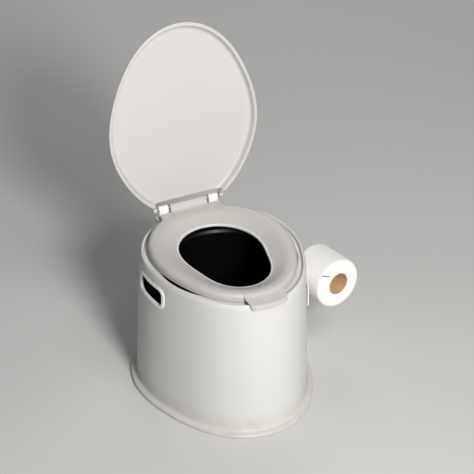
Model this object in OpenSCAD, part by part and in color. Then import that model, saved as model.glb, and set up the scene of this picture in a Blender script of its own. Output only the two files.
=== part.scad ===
// Portable camp toilet: an oval drum with a lift-up seat and lid, a lift-out bucket,
// two hand holes and a paper holder that hooks into the right-hand hole.
// Millimetres. +Z is up, -Y is the front and the hinge is at the back (+Y).
// The origin is on the floor, at the middle of the foot.
// An outline is an egg: r(a) = m * (1 + e1 cos a + e2 cos 2a + e3 cos 3a + e4 cos 4a),
// where a is measured from the front and m is the outline's mean radius.

/* [Drum] */
// Mean radius of the foot flange
foot_m = 193.4; // [186:0.2:200]
// Mean radius of the wall just above the foot
wall_low_m = 180.6; // [179:0.2:182]
// Mean radius of the wall just under the collar
wall_top_m = 169.8; // [168.6:0.2:171]
// Mean radius of the collar's crest
collar_m = 164.5; // [164:0.1:165]
// Height of the collar's crest
collar_z = 297.3; // [296.8:0.1:297.8]
// Thickness of the drum's wall
wall_t = 3; // [2.5:0.1:3.4]
// Height of the deck that the seat's feet stand on
deck_z = 290; // [289.5:0.1:290.1]
// Thickness of the base plate
base_t = 3; // [2.5:0.1:3.2]

/* [Seat and lid] */
// Mean radius of the seat's outer edge
seat_m = 152.3; // [151:0.1:152.5]
// Mean radius of the seat's hole
hole_m = 94.7; // [92:0.1:96]
// Height of the seat's crest
seat_z = 308.3; // [307.8:0.1:308.6]
// Width of the seat's front finger tab
tab_w = 80; // [60:1:86]
// Mean radius of the lid's rim
lid_m = 176.6; // [176:0.1:178]
// Angle from closed at which the lid stands open, in degrees
lid_open = 97.3; // [92:0.1:100]

/* [Hinge] */
// Hinge axis, back from the middle of the foot
hinge_y = 178; // [177.5:0.1:178.5]
// Hinge axis, above the floor
hinge_z = 315; // [314.6:0.1:315.6]
// Middle of each hinge bracket, out from the centre line
bracket_x = 55; // [54.7:0.1:55.3]
// Radius of the hinge pins
pin_r = 2.5; // [2:0.1:2.8]
// Radius of the brackets' knuckles
knuckle_r = 6.5; // [6:0.1:6.7]

/* [Bucket] */
// Inner radius of the bucket's mouth
bucket_r = 122.5; // [121:0.1:123]
// Inner radius of the bucket's floor
bucket_low_r = 102; // [96:0.5:106]
// Height of the bucket's underside above the floor
bucket_z = 24; // [12:0.5:40]
// Radius of the bail's wire
bail_r = 2; // [1.6:0.1:2]

/* [Hand holes] */
// Height of the hand holes' middle
grip_z = 253.5; // [252:0.5:254.5]
// Hand holes' middle, back from the middle of the foot
grip_y = 11; // [5:1:15]
// Length of the hole inside the trim
grip_l = 80; // [72:1:84]
// Height of the hole inside the trim
grip_h = 33; // [31:0.5:34]

/* [Paper holder] */
// Outer radius of the full roll
roll_r = 53; // [45:0.5:53]
// Length of the roll
roll_l = 86; // [80:1:90]
// Outer radius of the roll's core
core_r = 23.5; // [22:0.1:24]
// Middle of the roll's back face, out to the right of the foot's middle
roll_x = 222; // [221:0.2:226]
// Middle of the roll's back face, towards the hinge
roll_y = 50.6; // [46:0.2:54]
// Middle of the roll's back face, above the floor
roll_z = 171; // [168:0.2:174]
// Outward turn of the roll's axis from straight ahead, in degrees
roll_turn = 10; // [8:0.5:12]
// Upward tilt of the roll's axis, in degrees
roll_tilt = 3; // [0:0.5:4]

/* [Hidden] */

steps = 72;                  // points round an outline
run_gap = 0.05;              // radial clearance of a pin in its bore
fit_gap = 0.2;               // clearance between snapped or stacked pieces
round_fn = 96;               // facets of plain cylinders

drum_e = [-0.0313, 0.078, 0.033, 0.0045];
seat_e = [-0.150, 0.100, 0.0156, 0];
hole_e = [-0.190, 0.1975, 0.002, 0];
lid_e = [0.030, 0.1155, 0.0159, 0.0227];
seat_cy = -14.2;             // middle of the seat's outline
hole_cy = -18.1;             // middle of the hole's outline
lid_reach = 174.3;           // from the hinge axis to the middle of the lid's outline
lid_cy = hinge_y - lid_reach;

wall_low_z = 18;
wall_top_z = 283;
ledge_z = deck_z - 6;        // ledge that carries the bucket's flange
ledge_r = 139;               // radius of the step down to the ledge
mouth_r = 127.5;             // radius of the drum's round mouth
deck_t = 3;
ridge_in_m = 160.8;          // inner foot of the collar's ridge
plate_m = foot_m - 6.4;      // mean radius of the base plate
base_screw_m = foot_m - 11;  // circle of screws in the foot
base_screws_n = 6;

seat_back_y = 158;           // the seat's straight back edge
seat_wall = 0.058;           // wall of the seat, as a part of its width
tab_out_m = 174.2;           // outer face of the tab's lip
bracket_w = 20;
tongue_w = 2 * (bracket_x - bracket_w / 2 - 5); // the seat's hinge barrel, between the brackets
ear_w = 8;
ear_x = bracket_x + 14.5;    // inner face of the lid's ears
lid_cut_y = hinge_y - 15.5;  // the lid's straight back edge
lid_under_z = hinge_z + 1.5; // underside of the lid's panel
lid_rim_z = hinge_z - 12;    // lower edge of the lid's rim
shelf_w = 140;
shelf_back_y = 188;
shelf_z = collar_z - 0.3;

bucket_wall = 2.5;
flange_r = 136.5;
flange_z = ledge_z + fit_gap;
bail_z = 291.5;
bail_arc = 132.3;            // radius of the bail's bow
ear_out = 129.9;             // outer face of the bucket's ears
trim_t = 2.2;                // how far a trim stands off the wall
trim_deep = 3.4;             // how far a trim's sleeve reaches in
trim_rim = 8;                // width of a trim's face
grip_r = 10;                 // corner radius of the hole inside a trim
spindle_r = 15;
spindle_tip = 1.2;           // how far the spindle's end bead stands off
spindle_l = 44;              // how far the spindle reaches into the roll
core_t = 1.6;
spindle_up = core_r - core_t - spindle_r - spindle_tip - 0.3; // the core hangs on the end bead
root_gap = 9;                // from the arm's face to the roll's back face
arm_t = 4;
hook_a = [84, 96];           // the hook's ends, as angles round the drum
plate_a = [60, 110];         // the holder plate's ends, as angles round the drum

// radius of an egg at angle a from the front
function egg(m, e, a) =
    m * (1 + e[0] * cos(a) + e[1] * cos(2 * a) + e[2] * cos(3 * a) + e[3] * cos(4 * a));

// one outline of points at height z, cut straight where it passes y_end
function ring(m, e, cy, z, y_end = 1000) = [for (i = [0 : steps - 1])
    let (a = 360 * i / steps, r = egg(m, e, a))
    [r * sin(a), min(cy - r * cos(a), y_end), z]];
function drum_ring(m, z) = ring(m, drum_e, 0, z);
function round_ring(r, z) = ring(r, [0, 0, 0, 0], 0, z);

// an outline between the seat's outer edge (t = 0) and its hole (t = 1)
function seat_ring(t, z) =
    let (outer = ring(seat_m, seat_e, seat_cy, z, seat_back_y),
         inner = ring(hole_m, hole_e, hole_cy, z))
    [for (i = [0 : steps - 1]) outer[i] * (1 - t) + inner[i] * t];

// a lid outline of scale k
function lid_ring(k, z) = ring(lid_m * k, lid_e, lid_cy, z);

// mean radius of the drum's wall at height z
function wall_m(z) = wall_low_m + (wall_top_m - wall_low_m) * (z - wall_low_z) / (wall_top_z - wall_low_z);
// a point on the drum's wall, moved out by off
function wall_at(a, z, off) = let (r = egg(wall_m(z), drum_e, a) + off) [r * sin(a), -r * cos(a), z];

// solid whose rings form a closed loop, like a tyre
module loft_loop(rings) {
    n = len(rings);
    points = [for (r = rings) each r];
    polyhedron(points, [for (k = [0 : n - 1], i = [0 : steps - 1])
        let (a = k * steps + i, b = k * steps + (i + 1) % steps,
             c = ((k + 1) % n) * steps + (i + 1) % steps, d = ((k + 1) % n) * steps + i)
        each [[a, c, b], [a, d, c]]]);
}

// solid whose first and last rings are closed by flat caps
module loft_capped(rings) {
    n = len(rings);
    points = [for (r = rings) each r];
    sides = [for (k = [0 : n - 2], i = [0 : steps - 1])
        let (a = k * steps + i, b = k * steps + (i + 1) % steps, c = b + steps, d = a + steps)
        each [[a, c, b], [a, d, c]]];
    first = [for (i = [0 : steps - 1]) i];
    last = [for (i = [0 : steps - 1]) n * steps - 1 - i];
    polyhedron(points, concat(sides, [first], [last]));
}

// a curved slab that follows the drum's wall: offsets o1 to o2, heights z1 to z2, angles a1 to a2
module wall_slab(o1, o2, z1, z2, a1, a2, cuts = 12) {
    corner = [for (i = [0 : cuts]) let (a = a1 + (a2 - a1) * i / cuts)
        each [wall_at(a, z1, o1), wall_at(a, z1, o2), wall_at(a, z2, o2), wall_at(a, z2, o1)]];
    sides = [for (i = [0 : cuts - 1], j = [0 : 3])
        let (p = 4 * i + j, q = 4 * i + (j + 1) % 4)
        each [[p, q + 4, p + 4], [p, q, q + 4]]];
    end = 4 * cuts;
    polyhedron(corner, concat(sides, [[3, 2, 1, 0]], [[end, end + 1, end + 2, end + 3]]));
}

// flat rounded rectangle made of squares and circles
module round_rect(l, w, r) {
    square([l - 2 * r, w], center = true);
    square([l, w - 2 * r], center = true);
    for (x = [-1, 1], y = [-1, 1])
        translate([x * (l / 2 - r), y * (w / 2 - r)]) circle(r, $fn = 48);
}

// prism through the wall at a hand hole, on side s
module grip_prism(s, l, h, x1, x2) {
    translate([s * (x1 + x2) / 2, grip_y, grip_z]) rotate([90, 0, 90])
        linear_extrude(x2 - x1, center = true) round_rect(l, h, grip_r + (h - grip_h) / 2);
}

module egg_plate(m, e, cy, z1, z2, y_end = 1000) {
    translate([0, 0, z1]) linear_extrude(z2 - z1)
        polygon([for (p = ring(m, e, cy, 0, y_end)) [p[0], p[1]]]);
}

// runs its children at the foot's screw places
module at_base_screws() {
    for (i = [0 : base_screws_n - 1]) {
        a = 360 * (i + 0.5) / base_screws_n;
        r = egg(base_screw_m, drum_e, a);
        translate([r * sin(a), -r * cos(a), 0]) children();
    }
}

module at_bracket_screws() {
    for (s = [-1, 1], x = [-6, 6])
        translate([s * (bracket_x + x), hinge_y + 2, 0]) children();
}

// cylinder along X between x1 and x2 on the hinge axis
module hinge_rod(r, x1, x2) {
    translate([(x1 + x2) / 2, hinge_y, hinge_z]) rotate([0, 90, 0])
        cylinder(r = r, h = abs(x2 - x1), center = true, $fn = round_fn);
}

// turns its children back about the hinge axis by a
module turned_back(a) {
    translate([0, hinge_y, hinge_z]) rotate([-a, 0, 0]) translate([0, -hinge_y, -hinge_z]) children();
}

// puts -Y along the roll's axis, with the origin at the middle of its back face
module on_roll_axis() {
    translate([roll_x, roll_y, roll_z]) rotate([-roll_tilt, 0, roll_turn]) children();
}

// cylinder along -Y in the roll's frame, from y1 back to y2
module roll_rod(r, y1, y2) {
    translate([0, (y1 + y2) / 2, 0]) rotate([90, 0, 0])
        cylinder(r = r, h = y2 - y1, center = true, $fn = round_fn);
}

module drum_body() {
    in_low = wall_low_m - wall_t;
    in_top = wall_top_m - wall_t;
    loft_loop([
        drum_ring(foot_m - 1.4, 0),
        drum_ring(foot_m, 1.4),
        drum_ring(foot_m, 5.4),
        drum_ring(foot_m - 1.8, 7.4),
        drum_ring(wall_low_m + 4, 9),
        drum_ring(wall_low_m + 1.2, 11.5),
        drum_ring(wall_low_m, wall_low_z),
        drum_ring(wall_top_m, wall_top_z),
        drum_ring(wall_top_m - 0.6, wall_top_z + 6),
        drum_ring(collar_m + 3.4, collar_z - 4.2),
        drum_ring(collar_m + 1.9, collar_z - 1.4),
        drum_ring(collar_m, collar_z),
        drum_ring(ridge_in_m + 1.4, collar_z - 0.8),
        drum_ring(ridge_in_m, collar_z - 3),
        drum_ring(ridge_in_m - 0.3, deck_z),
        round_ring(ledge_r, deck_z),
        round_ring(ledge_r - 0.5, ledge_z),
        round_ring(mouth_r, ledge_z),
        round_ring(mouth_r, ledge_z - deck_t),
        round_ring(ledge_r + 3, ledge_z - deck_t),
        round_ring(ledge_r + 3.4, deck_z - deck_t - 0.5),
        drum_ring(in_top - 3, deck_z - deck_t - 0.5),
        drum_ring(in_top, wall_top_z - 3),
        drum_ring(in_low, 14),
        drum_ring(in_low, base_t + fit_gap),
        drum_ring(plate_m + fit_gap, base_t + fit_gap),
        drum_ring(plate_m + fit_gap, 0)]);
}

// moulded shelf behind the collar that carries the hinge brackets
module hinge_shelf() {
    mid_y = 150;
    depth = 2 * (shelf_back_y - mid_y);
    skirt = 8;
    top_t = 3.5;
    difference() {
        translate([0, mid_y, shelf_z - skirt]) linear_extrude(skirt) round_rect(shelf_w, depth, 9);
        translate([0, mid_y, shelf_z - skirt - 1]) linear_extrude(skirt + 1 - top_t)
            round_rect(shelf_w - 6, depth - 6, 6);
        egg_plate(wall_top_m - 3.5, drum_e, 0, 270, shelf_z + 1);
        translate([-shelf_w, -10, 270]) cube([2 * shelf_w, 130, 40]);
    }
    // ribs under the shelf, inside the brackets
    for (x = [-43, -14, 14, 43])
        difference() {
            translate([x - 1.5, 140, shelf_z - skirt]) cube([3, shelf_back_y - 141, skirt - 1]);
            egg_plate(wall_top_m - 2.5, drum_e, 0, 270, shelf_z + 1);
        }
}

module drum_shell() {
    color("gainsboro") difference() {
        union() {
            drum_body();
            hinge_shelf();
        }
        for (s = [-1, 1]) grip_prism(s, grip_l + 4, grip_h + 4, 120, 190);
        at_base_screws() translate([0, 0, 1]) cylinder(r = 1.65, h = 6.6, $fn = 32);
        at_bracket_screws() translate([0, 0, shelf_z - 5]) cylinder(r = 2.2, h = 8, $fn = 32);
    }
}

module base_plate() {
    color("gainsboro") difference() {
        egg_plate(plate_m, drum_e, 0, 0, base_t);
        at_base_screws() {
            translate([0, 0, -1]) cylinder(r = 1.9, h = base_t + 2, $fn = 32);
            translate([0, 0, -0.01]) cylinder(r1 = 3.7, r2 = 1.9, h = 1.9, $fn = 32);
        }
    }
}

module base_screws() {
    color("silver") at_base_screws() {
        translate([0, 0, 0.3]) cylinder(r1 = 3.3, r2 = 1.6, h = 1.6, $fn = 32);
        translate([0, 0, 1.5]) cylinder(r = 1.6, h = 5.8, $fn = 32);
    }
}

// ring set in a hand hole: a face on the wall and a short sleeve through it
module handle_trim(s) {
    half_a = 24;
    mid_a = s > 0 ? 90 : -90;
    color("white") difference() {
        union() {
            intersection() {
                wall_slab(0.15, trim_t, grip_z - 30, grip_z + 26, mid_a - half_a, mid_a + half_a, 16);
                grip_prism(s, grip_l + 2 * trim_rim, grip_h + 2 * trim_rim, 120, 190);
            }
            intersection() {
                wall_slab(-trim_deep, trim_t - 0.5, grip_z - 30, grip_z + 26,
                    mid_a - half_a, mid_a + half_a, 16);
                grip_prism(s, grip_l + 3.6, grip_h + 3.6, 120, 190);
            }
        }
        grip_prism(s, grip_l, grip_h, 110, 200);
    }
}

module handle_trim_left() { handle_trim(-1); }
module handle_trim_right() { handle_trim(1); }

// white lug on the shelf that carries a hinge pin, on side s
module hinge_bracket(s) {
    x1 = bracket_x - bracket_w / 2;
    foot_z = collar_z + 0.1;
    back_y = hinge_y + knuckle_r + 1;
    color("white") difference() {
        union() {
            hinge_rod(knuckle_r, s * x1, s * (x1 + bracket_w));
            translate([s * bracket_x, 0, 0]) rotate([90, 0, 90])
                linear_extrude(bracket_w, center = true)
                polygon([[hinge_y - knuckle_r, foot_z], [back_y, foot_z], [back_y, foot_z + 3],
                    [hinge_y + knuckle_r, hinge_z], [hinge_y - knuckle_r, hinge_z]]);
        }
        hinge_rod(pin_r + run_gap, s * (x1 - 1), s * (x1 + bracket_w + 1));
        at_bracket_screws() translate([0, 0, foot_z - 1]) cylinder(r = 1.8, h = 13, $fn = 32);
    }
}

module hinge_bracket_left() { hinge_bracket(-1); }
module hinge_bracket_right() { hinge_bracket(1); }

module bracket_screws() {
    color("silver") at_bracket_screws() {
        translate([0, 0, shelf_z - 6.8]) cylinder(r = 4, h = 3, $fn = 32);
        translate([0, 0, shelf_z - 4]) cylinder(r = 1.75, h = 15, $fn = 32);
    }
}

// headless pin fixed in the seat's barrel: it turns in a bracket, and an ear of the lid turns on it
module hinge_pin(s) {
    color("silver") hinge_rod(pin_r, s * 28, s * (ear_x + ear_w - 0.5));
}

module hinge_pin_left() { hinge_pin(-1); }
module hinge_pin_right() { hinge_pin(1); }

// angles of the seat's four feet, from the front
foot_angles = [-135, -30, 30, 135];

module at_seat_feet() {
    for (a = foot_angles) {
        r = egg(seat_m, seat_e, a) - 8.5;
        translate([r * sin(a), seat_cy - r * cos(a), 0]) children();
    }
}

module seat_ring_body() {
    low_z = deck_z + 2.3;
    lip_z = seat_z - 13.6;
    loft_loop([
        seat_ring(0.010, low_z),
        seat_ring(0, low_z + 1.2),
        seat_ring(0, seat_z - 7),
        seat_ring(0.014, seat_z - 3.8),
        seat_ring(0.05, seat_z - 1.3),
        seat_ring(0.11, seat_z - 0.1),
        seat_ring(0.20, seat_z),
        seat_ring(0.36, seat_z - 1),
        seat_ring(0.50, seat_z - 3.2),
        seat_ring(0.68, seat_z - 7.4),
        seat_ring(0.86, seat_z - 11.6),
        seat_ring(0.955, lip_z + 0.2),
        seat_ring(0.985, lip_z),
        seat_ring(1, lip_z - 1),
        seat_ring(1, lip_z - 4.4),
        seat_ring(0.955, lip_z - 4.4),
        seat_ring(0.945, lip_z - 3.4),
        seat_ring(0.86, seat_z - 15.4),
        seat_ring(0.68, seat_z - 11.2),
        seat_ring(0.50, seat_z - 7),
        seat_ring(0.36, seat_z - 4.8),
        seat_ring(0.20, seat_z - 4),
        seat_ring(0.075, seat_z - 5.4),
        seat_ring(seat_wall, seat_z - 8),
        seat_ring(seat_wall - 0.004, low_z)]);
}

// finger tab: the seat's rounded edge runs on over the collar and turns down outside it
module seat_tab() {
    under_z = collar_z + 1.5;
    low_z = under_z - 9.5;
    difference() {
        intersection() {
            loft_capped([
                seat_ring(-0.7, low_z),
                seat_ring(-0.7, seat_z - 7.9),
                seat_ring(-0.34, seat_z - 7),
                seat_ring(-0.17, seat_z - 6),
                seat_ring(-0.06, seat_z - 4.6),
                seat_ring(0, seat_z - 2.9),
                seat_ring(0.025, seat_z - 1.9),
                seat_ring(0.05, seat_z - 1),
                seat_ring(0.11, seat_z - 0.1)]);
            egg_plate(tab_out_m, drum_e, 0, low_z, seat_z);
            translate([0, -190, 0]) linear_extrude(400) round_rect(tab_w, 90, 9);
        }
        egg_plate(tab_out_m - 3, drum_e, 0, low_z - 1, under_z);
        egg_plate(seat_m - 5, seat_e, seat_cy, under_z - 1, seat_z + 1);
    }
}

// hinge plate behind the seat: it passes over the collar and is open underneath
module seat_back_plate() {
    half_w = 68;
    back_y = hinge_y - 7.5;
    under_z = collar_z + 1.7;
    top_z = seat_z - 0.3;
    difference() {
        translate([0, back_y - 30, under_z]) linear_extrude(top_z - under_z)
            round_rect(2 * half_w, 60, 12);
        translate([0, back_y - 33, under_z - 1]) linear_extrude(top_z - 3 - under_z + 1)
            round_rect(2 * half_w - 6, 60, 9);
        egg_plate(seat_m - 5, seat_e, seat_cy, under_z - 1, seat_z + 1, seat_back_y - 4);
    }
}

// tongue between the brackets that rises from the seat to its hinge barrel
module seat_tongue() {
    front_y = hinge_y - 13;
    under_z = seat_z - 7;
    translate([-tongue_w / 2, 0, 0]) rotate([90, 0, 90]) linear_extrude(tongue_w)
        polygon([[front_y, under_z], [hinge_y - 8, under_z], [hinge_y, hinge_z - knuckle_r + 0.5],
            [hinge_y, hinge_z + knuckle_r - 1.5], [hinge_y - 4.6, hinge_z + 3.6],
            [hinge_y - 7.2, seat_z + 3], [hinge_y - 10, seat_z + 0.5], [front_y, seat_z - 0.3]]);
    hinge_rod(knuckle_r - 0.5, -tongue_w / 2, tongue_w / 2);
}

module seat() {
    color("lightgray") difference() {
        union() {
            seat_ring_body();
            seat_tab();
            seat_back_plate();
            seat_tongue();
            at_seat_feet() translate([0, 0, deck_z + 2.3]) cylinder(r = 5, h = 12.5, $fn = 48);
        }
        for (s = [-1, 1]) hinge_rod(pin_r + run_gap, s * 26, s * (tongue_w / 2 + 1));
        at_seat_feet() translate([0, 0, deck_z + 1]) cylinder(r = 2.1, h = 9, $fn = 32);
    }
}

module seat_feet() {
    color("dimgray") at_seat_feet() {
        translate([0, 0, deck_z + 0.2]) cylinder(r = 4.6, h = 2, $fn = 48);
        translate([0, 0, deck_z + 1.2]) cylinder(r = 2, h = 8, $fn = 32);
    }
}

module lid_dish() {
    top_z = lid_under_z + 2.6;
    // outer skin from the rim up to the crown, then the underside back out to the rim
    loft_capped([
        lid_ring(0.30, lid_under_z + 0.1),
        lid_ring(0.86, lid_under_z),
        lid_ring(0.922, lid_under_z - 0.8),
        lid_ring(0.943, lid_under_z - 3),
        lid_ring(0.962, lid_rim_z + 1),
        lid_ring(0.974, lid_rim_z),
        lid_ring(0.992, lid_rim_z),
        lid_ring(1, lid_rim_z + 1.2),
        lid_ring(1, lid_rim_z + 2.8),
        lid_ring(0.985, lid_rim_z + 6.8),
        lid_ring(0.962, lid_rim_z + 12),
        lid_ring(0.942, top_z - 0.8),
        lid_ring(0.912, top_z + 0.8),
        lid_ring(0.84, top_z + 1.8),
        lid_ring(0.30, top_z + 3)]);
}

// ear beside a bracket that hangs the lid on its pin; it carries the rim's curve on to the hinge
module lid_ear(s) {
    out_x = ear_x + ear_w;
    plan = [[ear_x, hinge_y + 9], [ear_x, hinge_y - 7], [ear_x + 4.5, hinge_y - 17],
        [ear_x + 10.5, hinge_y - 23], [out_x + 15, hinge_y - 23], [out_x + 10, hinge_y - 17],
        [out_x + 2.5, hinge_y - 8], [out_x, hinge_y - 2], [out_x, hinge_y + 9]];
    hinge_rod(knuckle_r, s * ear_x, s * out_x);
    intersection() {
        translate([s * (ear_x + 10), 0, 0]) rotate([90, 0, 90]) linear_extrude(40, center = true)
            polygon([[hinge_y - 23, lid_rim_z + 0.6], [hinge_y - 16, lid_rim_z + 0.1],
                [hinge_y - 11, lid_rim_z + 0.5], [hinge_y - 5, hinge_z - 5.2],
                [hinge_y, hinge_z - knuckle_r + 0.1], [hinge_y, hinge_z + knuckle_r - 0.1],
                [hinge_y - 5, hinge_z + 5.4], [hinge_y - 17, hinge_z + 2.5],
                [hinge_y - 23, lid_rim_z + 4]]);
        translate([0, 0, lid_rim_z - 5]) linear_extrude(40) polygon([for (p = plan) [s * p[0], p[1]]]);
    }
}

module lid_closed() {
    difference() {
        union() {
            difference() {
                lid_dish();
                translate([-150, lid_cut_y, hinge_z - 30]) cube([300, 60, 60]);
            }
            for (s = [-1, 1]) lid_ear(s);
        }
        for (s = [-1, 1]) hinge_rod(pin_r + run_gap, s * (ear_x - 1), s * (ear_x + ear_w + 1));
    }
}

module lid() { color("whitesmoke") turned_back(lid_open) lid_closed(); }

// bucket profile: radius against height, turned about Z
module inner_bucket() {
    floor_z = bucket_z + bucket_wall + 0.5;
    foot_r = bucket_low_r - 6;
    step_r = bucket_r - 4;
    step_z = flange_z - 10;
    color("#161616") {
        rotate_extrude($fn = round_fn) polygon([
            [0, bucket_z + 3], [foot_r - 2, bucket_z + 3], [foot_r, bucket_z],
            [bucket_low_r - 1, bucket_z], [bucket_low_r + bucket_wall, bucket_z + 5],
            [step_r + bucket_wall, step_z - 5], [bucket_r + bucket_wall, step_z],
            [bucket_r + bucket_wall, flange_z],
            [flange_r, flange_z], [flange_r, flange_z + 2.2],
            [bucket_r + bucket_wall, flange_z + 2.2], [bucket_r + 1.6, flange_z + 3.4],
            [bucket_r + 0.4, flange_z + 3.2], [bucket_r, flange_z + 2],
            [bucket_r, step_z + 1], [step_r, step_z - 4], [bucket_low_r, floor_z + 4],
            [bucket_low_r - 4, floor_z + 3.5], [0, floor_z + 3.5]]);
        for (s = [-1, 1]) difference() {
            translate([s * (ear_out - 2.25), 0, (flange_z + 2 + bail_z + 4.5) / 2])
                cube([4.5, 16, bail_z + 2.5 - flange_z], center = true);
            translate([s * ear_out, 0, bail_z]) rotate([0, 90, 0])
                cylinder(r = bail_r + run_gap, h = 20, center = true, $fn = 48);
        }
    }
}

// wire bow lying over the flange, its ends turned in through the bucket's ears
module bucket_bail() {
    end_l = 9;
    color("silver") translate([0, 0, bail_z]) {
        rotate_extrude(angle = 180, $fn = round_fn) translate([bail_arc, 0]) circle(bail_r, $fn = 24);
        for (s = [-1, 1]) translate([s * (bail_arc - end_l / 2), 0, 0]) rotate([0, 90, 0])
            cylinder(r = bail_r, h = end_l, center = true, $fn = 48);
    }
}

module bail_grip() {
    span = 44;
    color("#202020") translate([0, 0, bail_z]) rotate([0, 0, 90 - span / 2])
        rotate_extrude(angle = span, $fn = round_fn) translate([bail_arc, 0])
        difference() {
            circle(4.4, $fn = 32);
            circle(bail_r + run_gap, $fn = 24);
        }
}

// hooked plate on the wall, with an arm behind the roll
module holder_plate() {
    o1 = trim_t + 0.6;
    o2 = o1 + 2.6;
    hook_z = grip_z - grip_h / 2 + 0.5;
    low_z = roll_z + 11;
    high_z = roll_z + 56;
    in_o = -trim_deep - 4;
    color("white") difference() {
        union() {
            wall_slab(o1, o2, low_z, high_z, plate_a[0], plate_a[1], 14);
            wall_slab(o1, o2, high_z - 1, hook_z + 3, hook_a[0], hook_a[1], 4);
            wall_slab(in_o, o2, hook_z, hook_z + 3, hook_a[0], hook_a[1], 4);
            wall_slab(in_o, in_o + 2.8, hook_z - 14, hook_z + 3, hook_a[0], hook_a[1], 4);
            on_roll_axis() translate([0, root_gap + arm_t, 0]) rotate([90, 0, 0])
                linear_extrude(arm_t) arm_outline();
        }
        on_spindle_axis() roll_rod(2.2, root_gap - 1, root_gap + arm_t + 1);
    }
}

// arm seen along the roll's axis: from the plate out to the spindle
module arm_outline() {
    reach = 56;
    translate([0, spindle_up]) circle(15, $fn = 64);
    polygon([[2, spindle_up + 14.8], [-reach, 44], [-reach, 14], [-9, spindle_up - 12]]);
}

// runs its children on the spindle's own axis, above the roll's
module on_spindle_axis() {
    on_roll_axis() translate([0, 0, spindle_up]) children();
}

module holder_spindle() {
    color("white") on_spindle_axis() difference() {
        union() {
            roll_rod(core_r, root_gap - 4, root_gap - 0.1);
            roll_rod(spindle_r, -spindle_l + 2, root_gap - 3);
            roll_rod(spindle_r + spindle_tip, -spindle_l, -spindle_l + 4);
        }
        roll_rod(1.6, -8, root_gap + 1);
    }
}

module spindle_screw() {
    color("silver") on_spindle_axis() {
        roll_rod(4, root_gap + arm_t + 0.1, root_gap + arm_t + 2.6);
        roll_rod(1.5, -6, root_gap + arm_t + 1);
    }
}

module paper_roll() {
    edge = 2;
    color("white") on_roll_axis() rotate([90, 0, 0]) rotate_extrude($fn = round_fn)
        polygon([[core_r + 0.05, 0], [roll_r - edge, 0], [roll_r, edge], [roll_r, roll_l - edge],
            [roll_r - edge, roll_l], [core_r + 0.05, roll_l]]);
}

module roll_core() {
    color("tan") on_roll_axis() difference() {
        roll_rod(core_r, -roll_l + 0.5, -0.5);
        roll_rod(core_r - core_t, -roll_l, 0.5);
    }
}

drum_shell();
base_plate();
base_screws();
handle_trim_left();
handle_trim_right();
hinge_bracket_left();
hinge_bracket_right();
bracket_screws();
hinge_pin_left();
hinge_pin_right();
seat();
seat_feet();
lid();
inner_bucket();
bucket_bail();
bail_grip();
holder_plate();
holder_spindle();
spindle_screw();
paper_roll();
roll_core();
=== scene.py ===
import math

import bmesh
import bpy
import numpy as np
from mathutils import Matrix, Vector


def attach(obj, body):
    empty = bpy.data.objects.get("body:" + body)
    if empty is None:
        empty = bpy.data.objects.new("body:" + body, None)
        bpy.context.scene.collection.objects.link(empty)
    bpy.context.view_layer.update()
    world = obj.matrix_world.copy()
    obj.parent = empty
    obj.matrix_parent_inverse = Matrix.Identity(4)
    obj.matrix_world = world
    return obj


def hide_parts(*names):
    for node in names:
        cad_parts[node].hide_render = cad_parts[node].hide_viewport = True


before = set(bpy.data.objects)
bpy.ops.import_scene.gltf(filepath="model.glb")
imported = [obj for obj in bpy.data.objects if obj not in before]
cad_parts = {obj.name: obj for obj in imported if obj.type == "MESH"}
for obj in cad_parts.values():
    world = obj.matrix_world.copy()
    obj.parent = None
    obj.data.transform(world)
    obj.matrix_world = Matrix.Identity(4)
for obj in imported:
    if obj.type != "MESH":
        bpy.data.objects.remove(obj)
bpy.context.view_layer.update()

# ---------------------------------------------------------------- outlines, in millimetres
N = 288
ANG = np.arange(N) * 2 * np.pi / N
DRUM = (-0.0313, 0.078, 0.033, 0.0045)
SEAT = (-0.150, 0.100, 0.0156, 0)
HOLE = (-0.190, 0.1975, 0.002, 0)
LID = (0.030, 0.1155, 0.0159, 0.0227)
HINGE_Y, HINGE_Z, LID_OPEN = 178.0, 315.0, 97.3
SHELF_Z, COLLAR_Z, DECK_Z, SEAT_Z = 297.0, 297.3, 290.0, 308.3
GRIP_Y, GRIP_Z, GRIP_L, GRIP_H, GRIP_R = 11.0, 253.5, 80.0, 33.0, 10.0


def egg(m, e, a):
    return m * (1 + e[0] * np.cos(a) + e[1] * np.cos(2 * a) + e[2] * np.cos(3 * a) + e[3] * np.cos(4 * a))


def ring(m, e, cy, z, y_end=None):
    r = egg(m, e, ANG)
    x, y = r * np.sin(ANG), cy - r * np.cos(ANG)
    if y_end is not None:
        y = np.minimum(y, y_end)
    return np.stack([x, y, np.broadcast_to(z, x.shape)], 1)


def drum_ring(m, z):
    return ring(m, DRUM, 0, z)


def round_ring(r, z):
    return ring(r, (0, 0, 0, 0), 0, z)


def seat_ring(t, z):
    return ring(152.3, SEAT, -14.2, z, 158) * (1 - t) + ring(94.7, HOLE, -18.1, z) * t


def wall_m(z):
    return 180.6 + (169.8 - 180.6) * (np.asarray(z, float) - 18) / 265


def wall_at(a, z, off):
    """Point on the drum's wall at angle a from the front, moved out by off."""
    r = egg(wall_m(z), DRUM, a) + off
    return np.stack(np.broadcast_arrays(r * np.sin(a), -r * np.cos(a), z), -1)


def wall_x(y, z, off):
    """Half-width of the drum's wall at y and height z, moved out by off."""
    a = np.full(np.shape(y), np.pi / 2)
    for _ in range(30):
        r = egg(wall_m(z), DRUM, a) + off
        a = np.arccos(np.clip(-y / r, -0.99, 0.99))
    return r * np.sin(a)


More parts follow.
